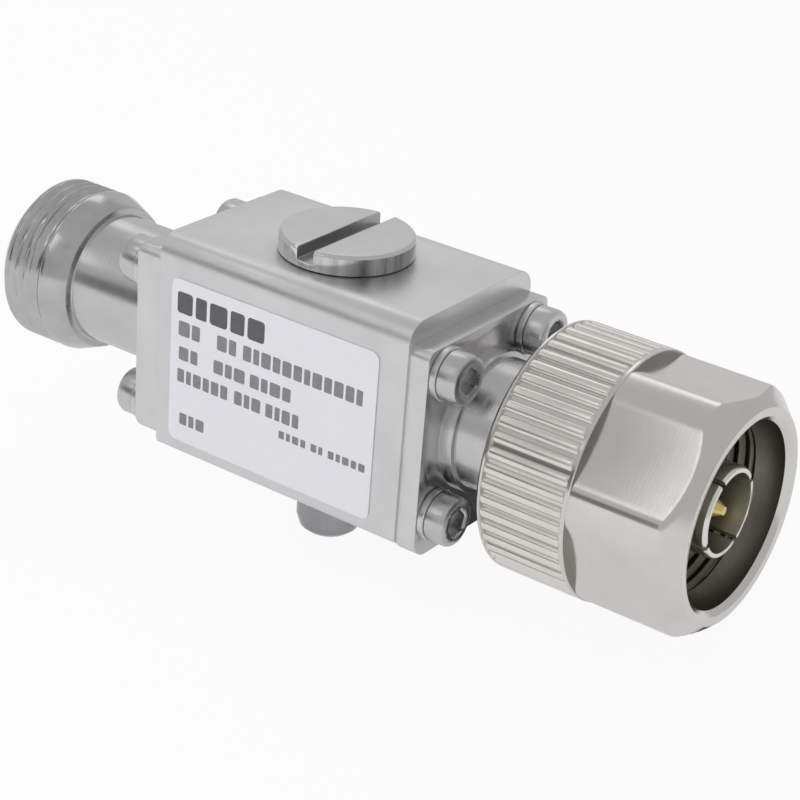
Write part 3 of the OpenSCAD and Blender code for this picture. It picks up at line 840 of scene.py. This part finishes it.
@dataclass
class Jack:
    """The threaded jack with its flange and contacts."""

    thread: Thread = Thread(radius=7.94, depth=-0.5, rows=48, run_out=5, lead=0.05)
    thread_turns: int = 3
    mouth_bevel: float = 1.1
    relief_depth: float = 0.4
    relief_side: float = 0.45
    collar: float = 0.3
    drum_length: float = 8.2
    drum_taper: float = 2.4
    drum_bevel: float = 0.95
    neck_r: float = 6.25
    neck_sink: float = 1.2
    socket_r: float = 4.05
    socket_depth: float = 9.1
    socket_bevel: float = 0.5
    step_r: float = 3.5
    step_length: float = 2.4
    bore_r: float = 4.6
    flange_t: float = 2.9
    flange_rounds: Pair = (0.9, 1.8)
    flange_edge: float = 0.2
    flange_hole: float = 5.0
    flange_steps: int = 10
    lit_side_lean: float = -0.3
    sharp_deg: float = 38.0
    sides: int = 144

    def build(self, shop: Workshop) -> None:
        """Build and dress the jack.

        Args:
            shop: the workshop.
        """
        low, high = box_mm("jack_shell")
        face, lean = box_mm("body_block")[0].x - self.flange_t, self.lit_side_lean
        line = skinned("jack_line", [self._line(low.x, face + self.neck_sink)], closed=True)
        plate = skinned("jack_plate", [self._plate(face, low, high)], closed=True)
        union = line.modifiers.new("union", "BOOLEAN")
        union.operation, union.solver, union.object = "UNION", "EXACT", plate
        bm = bmesh.new()
        bm.from_object(line, bpy.context.evaluated_depsgraph_get())
        bpy.data.objects.remove(line)
        bpy.data.objects.remove(plate)
        shell = finish_mesh(bm, "jack_body", self.sharp_deg)
        shop.paint(shell, "shell_nickel")
        # The drum takes a darker nickel than the neck: painted shade.
        drum_end = low.x + self.drum_length
        shop.dress(shell, "drum_nickel_shade", lambda mid, normal: mid.x < drum_end)
        # Front faces of the flange take the lighter block nickel, the rest of it the darker shell
        # nickel: painted light on the flange's front.
        shop.dress(shell, "block_nickel", lambda mid, normal: mid.x > face and normal.y < lean)
        shop.fit(shell, Body.HOUSING, "shell_nickel", "jack_shell")
        shop.paint_nodes(jack_insulator="insulator_white", jack_contact="contact_gold")

    def _line(self, end: float, inner: float) -> list[Loop]:
        """Make the turned part, from the mouth to the neck and back inside.

        Args:
            end: x of the mouth.
            inner: x of the neck's end in the flange.

        Returns:
            The loops of a closed stack. Small offsets round its corners.
        """
        outer, neck, hole = self.thread.radius, self.neck_r, self.socket_r
        mouth, root = outer - self.mouth_bevel, outer - self.relief_depth
        foot = outer - self.drum_bevel
        start, top = end + self.mouth_bevel, end + self.drum_length
        span = self.thread_turns * self.thread.pitch + self.thread.lead
        relief, taper, side = start + span, top - self.drum_taper, self.relief_side
        collar, floor = taper - self.collar, end + self.socket_depth
        step = floor + self.step_length
        profile = [
            (end, hole + self.socket_bevel), (end, mouth), (end + 0.05, mouth + 0.09),
            *self.thread.profile(start, span),
            (relief + 0.08, outer - 0.03), (relief + 0.33, root + 0.04), (relief + side, root),
            (collar - side, root), (collar - 0.33, root + 0.04), (collar - 0.06, outer - 0.05),
            (collar + 0.04, outer), (taper - 0.12, outer), (taper + 0.12, outer - 0.05),
            (top - 0.08, foot + 0.03), (top, foot - 0.05), (top, neck + 0.22),
            (top + 0.07, neck + 0.07), (top + 0.24, neck), (inner, neck), (inner, self.bore_r),
            (step, self.bore_r), (step, self.step_r), (floor, self.step_r), (floor, hole),
            (end + self.socket_bevel, hole),
        ]
        return [ring(x, r, self.sides) for x, r in profile]

    def _plate(self, face: float, low: Vector, high: Vector) -> list[Loop]:
        """Make the flange with soft edges and a round hole.

        Args:
            face: x of its outer face.
            low: lowest corner of the jack's box.
            high: highest corner of the jack's box.

        Returns:
            The loops of a closed stack.
        """
        back, edge = face + self.flange_t, self.flange_edge
        soft = edge * EDGE_MIDDLE
        rows = []
        for x, inset in (
            (face, edge), (face + soft, soft), (face + edge, 0.0),
            (back - edge, 0.0), (back - soft, soft), (back, edge),
        ):
            corners = (-high.y, low.z), (high.y, high.z)
            flat = rounded(*corners, self.flange_rounds, self.flange_steps, inset)
            rows.append([Vector((x, y, z)) * MM for y, z in flat])
        hole = [Vector(point).normalized() * self.flange_hole for point in flat]
        return rows + [[Vector((x, *point)) * MM for point in hole] for x in (back, face)]


@dataclass
class Plug:
    """The plug body, its contacts and its seal."""

    edge: float = 0.18
    flange_t: float = 2.0
    lit_side_lean: float = -0.3
    tube_edge: float = 0.06
    tube_r: float = 4.0
    tube_ends: Pair = (-20.0, -0.25)

    def build(self, shop: Workshop) -> None:
        """Build and dress the plug.

        Args:
            shop: the workshop.
        """
        shell = shop.softened("plug_shell", "plug_body", "shell_nickel", self.edge, 3)
        rim, lean = box_mm("body_block")[1].x + self.flange_t, self.lit_side_lean
        # Front faces of the flange take the lighter block nickel, the rest of it the darker shell
        # nickel: painted light on the flange's front.
        shop.dress(shell, "block_nickel", lambda middle, normal: middle.x < rim and normal.y < lean)
        shop.fit(shell, Body.HOUSING, "shell_nickel", "plug_shell")
        tube = shop.softened("plug_outer_contact", "plug_tube", "contact_silver", self.tube_edge)
        shop.line(tube, "contact_shade", self.tube_r, *self.tube_ends)
        shop.fit(tube, Body.HOUSING, "contact_silver", "plug_outer_contact")
        shop.paint_nodes(
            plug_insulator="insulator_white", plug_pin="contact_gold", plug_gasket="gasket_rubber",
            nut_retaining_ring="spring_bronze", centre_conductor="contact_gold",
        )


@dataclass
class CouplingNut:
    """The nut with a ribbed rear and a hexagon front."""

    outer_r: float = 11.15
    hex_r: float = 11.02
    flats: float = 20.4
    turn_deg: float = 22.0
    knurl_length: float = 8.7
    bevel: float = 1.6
    bevel_rows: int = 14
    bevel_reach: float = 3.4
    bevel_crowd: float = 1.2
    flat_middle: float = 6.0
    step_slack: float = 0.03
    step_lean: float = 0.5
    mouth_r: float = 8.7
    lip: float = 0.5
    lip_back: float = -0.9
    thread: Thread = Thread(radius=7.55, depth=0.4, rows=84, run_out=4)
    thread_back: float = -8.8
    thread_front: float = -1.8
    relief: float = 0.4
    relief_length: float = 3.3
    bore_r: float = 6.06
    bore_ends: Pair = (4.0, 0.6)
    rib_count: int = 50
    rib_height: float = 0.36
    rib_width: float = 0.92
    rib_sink: float = 0.1
    rib_ends: Pair = (0.55, 0.38)
    rib_run_out: tuple[Pair, ...] = ((0.0, 0.16), (0.12, 0.03), (0.3, 0.0))
    rib_sharp_deg: float = 50.0
    soft: float = 0.22
    sharp_deg: float = 40.0
    sides: int = 288

    def build(self, shop: Workshop) -> None:
        """Build and dress the nut.

        Args:
            shop: the workshop.
        """
        low, high = box_mm("coupling_nut")
        core = skinned("nut_core", [self._core(low.x, high.x)], True, self.sharp_deg)
        shop.paint(core, "nut_nickel")
        step = low.x + self.knurl_length

        def on_shaded_step(middle: Vector, normal: Vector) -> bool:
            """Tell whether a face belongs to the step behind the hexagon, which takes painted
            shade.
            """
            return abs(middle.x - step) < self.step_slack and normal.x > self.step_lean

        # The step's faces take a darker nickel: painted shade.
        shop.dress(core, "nut_step_shade", on_shaded_step)
        back, front = self.thread_back - self.bore_ends[0], high.x - self.bore_ends[1]
        # Faces inside the bore take a dark nickel: painted shade.
        shop.line(core, "nut_bore_shade", self.mouth_r, back, front)
        shop.fit(core, Body.NUT, "nut_nickel", "coupling_nut")
        values = {"Count": self.rib_count, "Finish": shop.materials["rib_nickel"]}
        ribs = Repeat.bake("nut_ribs", Repeat.around_line(), self._rib(low.x), values)
        shop.fit(ribs, Body.NUT, "nut_nickel")

    def _front(self, cone: float, angle: float) -> float:
        """Give the radius of the hexagon front at an angle, where its bevel has the radius cone."""
        flat = hexagon(self.flats, angle - math.radians(self.turn_deg + 30))
        return smooth_min(smooth_min(flat, self.hex_r, self.soft), cone, self.soft)

    def _core(self, back: float, front: float) -> list[Loop]:
        """Make the nut without its ribs, from the mouth to the rear and back inside.

        Args:
            back: x of the rear face.
            front: x of the mouth.

        Returns:
            The loops of a closed stack. Small offsets round its corners.
        """
        outer, core, mouth = self.outer_r, self.outer_r - self.rib_height, self.mouth_r
        knurl, thread = back + self.knurl_length, self.thread_back
        step, wide = thread - self.relief, self.thread.radius + self.relief
        deep = step - self.relief_length
        shares = [(i / self.bevel_rows) ** self.bevel_crowd for i in range(self.bevel_rows + 1)]
        places = [front - self.bevel_reach * share for share in shares]
        places += [front - self.flat_middle, knurl + 0.05, knurl]
        profile = [
            (front - self.lip, mouth - self.lip), (front - 0.06, mouth - 0.06),
            (front, mouth + 0.04),
            *((x, partial(self._front, self.hex_r - self.bevel + front - x)) for x in places),
            (knurl - 0.01, outer - 0.12), (knurl - 0.1, outer - 0.02), (knurl - 0.35, outer - 0.02),
            (knurl - 0.45, core), (back + 0.75, core), (back + 0.6, outer - 0.03),
            (back + 0.42, outer - 0.03), (back + 0.06, outer - 0.42), (back, outer - 0.52),
            (back, self.bore_r), (deep, self.bore_r), (deep, wide), (step, wide),
            *self.thread.profile(thread, self.thread_front - thread),
            (self.lip_back, mouth - self.lip),
        ]
        return [ring(x, r, self.sides) for x, r in profile]

    def _rib(self, back: float) -> Piece:
        """Make one rounded rib at the top of the nut.

        Args:
            back: x of the rear face.

        Returns:
            The rib as an object.
        """
        x0, x1 = back + self.rib_ends[0], back + self.knurl_length - self.rib_ends[1]
        base = self.outer_r - self.rib_height - self.rib_sink
        half, top = self.rib_width / 2, self.outer_r - 0.01
        # Half of the section from its foot to its crest, then the mirror image.
        section = [(-half - 0.08, base), (-half, base + 0.3)]
        section += [(-half * 0.55, top - 0.05), (0.0, top)]
        section += [(-y, z) for y, z in section[-2::-1]]
        places = [(x0 + dx, drop) for dx, drop in self.rib_run_out]
        places += [(x1 - dx, drop) for dx, drop in reversed(self.rib_run_out)]
        loops = []
        for x, drop in places:
            loops.append([Vector((x, y, max(z - drop, base))) * MM for y, z in section])
        return skinned("nut_rib", [loops], False, self.rib_sharp_deg)


@dataclass
class TubeCap:
    """The slotted cap with its seal, its spring and the gas tube."""

    edge: float = 0.14
    slot: float = 1.75
    slot_depth: float = 1.2
    slack: float = 0.02
    upright: float = 0.3

    def build(self, shop: Workshop) -> None:
        """Build and dress the cap and what it closes.

        Args:
            shop: the workshop.
        """
        low, high = box_mm("gas_tube_cap")
        axis, seat = (low.x + high.x) / 2, box_mm("body_block")[1].z
        half, depth = self.slot / 2 + self.slack, self.slot_depth + self.slack

        def in_slot(middle: Vector, normal: Vector) -> bool:
            """Tell whether a face belongs to the slot, which takes painted shade."""
            return abs(middle.x - axis) < half and self.edge < high.z - middle.z < depth

        cap = shop.softened("gas_tube_cap", "tube_cap", "cap_nickel", self.edge, 3)
        # The head's side wall takes the banded nickel: painted reflections.
        lean = self.upright
        shop.dress(cap, "cap_rim_reflection", lambda mid, normal: mid.z > seat and abs(normal.z) < lean)
        # The slot's faces take a darker nickel: painted shade.
        shop.dress(cap, "cap_slot", in_slot)
        shop.fit(cap, Body.CAP, "cap_nickel", "gas_tube_cap")
        shop.paint_nodes(
            cap_seal="seal_rubber", cap_contact_spring="spring_bronze",
            gas_tube_ceramic="tube_ceramic", gas_tube_top_electrode="tube_electrode",
            gas_tube_bottom_electrode="tube_electrode",
        )


@dataclass
class FlangeFasteners:
    """Socket-head screws and spring washers of both flanges."""

    pitch: float = 13.0
    pitch_up: float = 13.4
    drop: float = 0.1
    head_r: float = 2.25
    head_h: float = 2.0
    shank_r: float = 1.25
    tip: float = 0.3
    socket: float = 2.2
    socket_depth: float = 1.2
    socket_middle: float = 0.3
    socket_bevel: float = 0.1
    washer_r: float = 2.4
    washer_t: float = 0.6
    washer_play: float = 0.05
    washer_edge: float = 0.1
    washer_gap_deg: float = 12.0
    washer_steps: int = 60
    washer_sharp_deg: float = 40.0
    screw_turn_deg: float = 60.0
    washer_turn_deg: float = 120.0
    edge: float = 0.42
    small_edge: float = 0.12
    sides: int = 48

    def build(self, shop: Workshop) -> None:
        """Build and dress the fasteners of both flanges.

        Args:
            shop: the workshop.
        """
        tree = Repeat.on_flange()
        for flange, side, seed in (("jack", -1, 3), ("plug", 1, 8)):
            screws, washers = f"{flange}_flange_screws", f"{flange}_flange_washers"
            low, high = box_mm(washers)
            seat = high.x if side > 0 else low.x
            tip = box_mm(screws)[0 if side > 0 else 1].x
            screw, washer = self._screw(side, abs(seat - tip)), self._washer()
            for name, shape, finish, place, turn, node in (
                ("screws", screw, "screw_steel", seat, self.screw_turn_deg, screws),
                ("washers", washer, "washer_steel", low.x, self.washer_turn_deg, washers),
            ):
                values = {
                    "Finish": shop.materials[finish],
                    "Pitch": self.pitch * MM,
                    "Pitch Up": self.pitch_up * MM,
                    "Drop": self.drop * MM,
                    "Place": place * MM,
                    "Turn": math.radians(turn),
                    "Seed": seed,
                }
                piece = Repeat.bake(f"{flange}_{name}", tree, shape, values)
                shop.fit(piece, Body.HOUSING, finish, node)

    def _screw(self, side: int, shank: float) -> Piece:
        """Make one socket-head screw with its seat at the origin.

        Args:
            side: 1 when the head faces +X, -1 when it faces -X.
            shank: length of the shank.

        Returns:
            The screw as an object.
        """
        socket = partial(hexagon, self.socket)
        top, floor = self.head_h, self.head_h - self.socket_depth
        soft = self.edge * EDGE_MIDDLE
        small, head, shaft = self.small_edge, self.head_r, self.shank_r
        profile: Profile = [
            (floor, self.socket_middle), (floor, socket), (top - small, socket),
            (top, hexagon(self.socket, 0.0) + self.socket_bevel), (top, head - self.edge),
            (top - soft, head - soft), (top - self.edge, head), (small, head),
            (0.0, head - small), (0.0, shaft), (-shank + self.tip, shaft),
            (-shank, shaft - self.tip),
        ]
        loops = [ring(side * x, r, self.sides) for x, r in profile]
        return skinned("flange_screw", [loops], closed=False)

    def _washer(self) -> Piece:
        """Make one split spring washer standing on the origin.

        Returns:
            The washer as an object.
        """
        inner, outer = self.shank_r + self.washer_play, self.washer_r
        soft, top = self.washer_edge, self.washer_t
        section = [(0.0, inner), (0.0, outer - soft), (soft, outer)]
        section += [(top - x, r) for x, r in reversed(section)]
        loops = []
        for i in range(self.washer_steps + 1):
            swept = (360.0 - self.washer_gap_deg) * i / self.washer_steps
            a = math.radians(self.washer_gap_deg / 2 + swept)
            loops.append([Vector((x, r * math.cos(a), r * math.sin(a))) * MM for x, r in section])
        return skinned("spring_washer", [loops], False, self.washer_sharp_deg)


@dataclass
class GroundTerminal:
    """The earth screw and its washers."""

    edge: float = 0.1

    def build(self, shop: Workshop) -> None:
        """Build and dress the earth terminal.

        Args:
            shop: the workshop.
        """
        for node, body, finish, slot in (
            # The earth screw takes a darker steel: painted shade.
            ("screw", Body.GROUND_SCREW, "earth_steel_shade", "screw_steel"),
            ("spring_washer", Body.GROUND_WASHERS, "washer_steel", "washer_steel"),
            ("flat_washers", Body.GROUND_WASHERS, "washer_steel", "washer_steel"),
        ):
            piece = shop.softened("ground_" + node, "earth_" + node, finish, self.edge)
            shop.fit(piece, body, slot, "ground_" + node)


# Area lamps: name, azimuth off the front and rise in degrees, width and height in metres, level,
# and whether reflections show the lamp.
LAMPS = (
    ("key", -18.0, 41.0, (0.80, 0.80), 1.08, False),
    ("top", -142.0, 24.0, (0.55, 0.40), 0.13, True),
    ("back_left", -143.0, 48.0, (0.22, 0.18), 0.65, True),
    ("left", -110.0, 46.0, (0.12, 0.16), 0.9, True),
    ("left_high", -63.0, 45.0, (0.10, 0.07), 1.7, True),
    ("left_low", -47.0, 30.0, (0.10, 0.06), 1.3, True),
    ("front", -19.0, 43.0, (0.16, 0.22), 0.6, True),
)

# Cards: name, grey level, and middle and two half sides in metres.
CARDS = (
    (
        "flag_front", 0.17,
        (-0.32802951, -0.37735479, 0.0775), (0.13584772, -0.11809063, 0.0), (0.0, 0.0, 0.0775),
    ),
    # The card just under the part is painted shade of the floor, seen only in reflections.
    ("flag_under", 0.05, (-0.012, 0.026, -0.0171), (0.012, 0.0, 0.0), (0.0, 0.022, 0.0)),
    (
        "flag_flat", 0.42,
        (-0.0475758, -0.0708119, 0.0717191), (-0.0045536, 0.0030847, 0.0),
        (0.00267, 0.0039414, 0.0054016),
    ),
)


@dataclass
class Studio:
    """Floor, light, background and camera. Lengths are in metres where nothing else is said."""

    camera_mm: Triple = (65.94, -144.59, 83.82)
    focal_px: float = 2188.97
    centre_px: Pair = (389.52, 403.39)
    turn: Triple = (1.922958, 0.683408, -0.333364)
    image_px: float = 800.0
    sensor_mm: float = 36.0
    clip_start: float = 0.005
    world_level: float = 0.5
    world_gloss: float = 0.56
    floor_gloss: float = 0.4
    floor_glow: float = 0.9
    floor_drop_mm: float = 3.3
    floor_half: float = 2.5
    aim: Triple = (-0.037, 0.0, 0.0)
    lamp_reach: float = 0.6

    def build(self) -> None:
        """Build the whole studio."""
        bpy.context.scene.view_settings.view_transform = "Standard"
        self._world()
        self._floor()
        self._lamps()
        self._cards()
        self._camera()

    def _world(self) -> None:
        """Build a white surround that lights the object softly."""
        world = bpy.data.worlds.new("studio")
        bpy.context.scene.world = world
        world.use_nodes = True
        level = self._by_ray(world.node_tree, self.world_level, self.world_gloss)
        white = (*grey(1.0), 1.0)
        fill(world.node_tree.nodes["Background"], {"Color": white, "Strength": level})

    @staticmethod
    def _by_ray(tree: Tree, plain: float, gloss: float) -> Socket:
        """Build a value of 1 for what the camera sees, and others for reflected and plain light.

        Args:
            tree: the tree that takes the nodes.
            plain: value for plain light.
            gloss: value for reflections.

        Returns:
            The socket with the value.
        """
        rays = tree.nodes.new("ShaderNodeLightPath").outputs
        seen = calculate(tree, "MAXIMUM", rays["Is Camera Ray"], rays["Is Transmission Ray"])
        ends = {0: rays["Is Glossy Ray"], 2: plain, 3: gloss}
        mirrored = add(tree, "ShaderNodeMix", ends)[0]
        return add(tree, "ShaderNodeMix", {0: seen, 2: mirrored, 3: 1.0})[0]

    @staticmethod
    def _sheet(name: str, *sides: Sequence[float]) -> tuple[Piece, Tree]:
        """Make a flat sheet with a material of its own.

        Args:
            name: name of the sheet and of its material.
            *sides: its middle and two half sides.

        Returns:
            The sheet and the tree of its material.
        """
        middle, across, up = (Vector(side) for side in sides)
        bm = bmesh.new()
        corners = ((-1, -1), (1, -1), (1, 1), (-1, 1))
        bm.faces.new([bm.verts.new(middle + a * across + b * up) for a, b in corners])
        sheet = finish_mesh(bm, name)
        material = bpy.data.materials.new(name)
        material.use_nodes = True
        sheet.data.materials.append(material)
        return sheet, material.node_tree

    def _floor(self) -> None:
        """Build a pale floor, clear of the earth screw's travel, that keeps a faint shadow."""
        half, height = self.floor_half, CAD_BOX[0].z - self.floor_drop_mm * MM
        sides = (0.0, 0.0, height), (half, 0.0, 0.0), (0.0, half, 0.0)
        floor, tree = self._sheet("studio_floor", *sides)
        shader = tree.nodes["Principled BSDF"]
        pale = {"Base Color": (*grey(0.92), 1.0), "Roughness": 0.9, "Specular IOR Level": 0.0}
        fill(shader, pale)
        white = tree.nodes.new("ShaderNodeEmission").outputs[0]
        level = self._by_ray(tree, 0.0, self.floor_gloss)
        share = calculate(tree, "MULTIPLY", level, self.floor_glow)
        mix = add(tree, "ShaderNodeMixShader", {0: share, 1: shader.outputs[0], 2: white})[0]
        fill(tree.nodes["Material Output"], {"Surface": mix})

    def _lamps(self) -> None:
        """Place soft area lamps around the object."""
        aim = Vector(self.aim)
        for name, azimuth, rise, size, level, mirrored in LAMPS:
            a, e = math.radians(azimuth), math.radians(rise)
            out = Vector((math.sin(a) * math.cos(e), -math.cos(a) * math.cos(e), math.sin(e)))
            data = bpy.data.lights.new(name, "AREA")
            data.shape = "RECTANGLE"
            data.size, data.size_y = size
            data.energy = level * math.pi * size[0] * size[1]
            lamp = bpy.data.objects.new(name, data)
            lamp.visible_glossy = mirrored
            lamp.location = aim + out * self.lamp_reach
            lamp.rotation_euler = (aim - lamp.location).to_track_quat("-Z", "Y").to_euler()
            bpy.context.scene.collection.objects.link(lamp)

    def _cards(self) -> None:
        """Stand dark cards that only reflections see, as a studio does to give metal its shape; the
        card under the part is painted shade of the floor.
        """
        for name, tone, *sides in CARDS:
            card, tree = self._sheet(name, *sides)
            glow = add(tree, "ShaderNodeEmission", {"Color": (*grey(tone), 1.0)})[0]
            fill(tree.nodes["Material Output"], {"Surface": glow})
            for ray in ("camera", "diffuse", "shadow", "transmission"):
                setattr(card, "visible_" + ray, False)

    def _camera(self) -> None:
        """Place the camera at the photograph's angle."""
        axis = Vector(self.turn)
        world_to_view = Matrix.Rotation(axis.length, 3, axis.normalized())
        flip = Matrix(((1, 0, 0), (0, -1, 0), (0, 0, -1)))
        data = bpy.data.cameras.new("photo_camera")
        data.sensor_width = self.sensor_mm
        data.lens = self.focal_px / self.image_px * self.sensor_mm
        data.shift_x = (self.image_px / 2 - self.centre_px[0]) / self.image_px
        data.shift_y = (self.centre_px[1] - self.image_px / 2) / self.image_px
        data.clip_start = self.clip_start
        camera = bpy.data.objects.new("photo_camera", data)
        turned = (flip @ world_to_view).transposed().to_4x4()
        camera.matrix_world = Matrix.Translation(Vector(self.camera_mm) * MM) @ turned
        bpy.context.scene.collection.objects.link(camera)
        bpy.context.scene.camera = camera


def main() -> None:
    """Build the studio and every sub-assembly."""
    logging.basicConfig(level=logging.INFO, format="%(name)s: %(message)s")
    shop = Workshop()
    shop.stock()
    for kind in (Block, Jack, Plug, CouplingNut, TubeCap, FlangeFasteners, GroundTerminal):
        kind().build(shop)
    Studio().build()


if __name__ == "__main__":
    main()
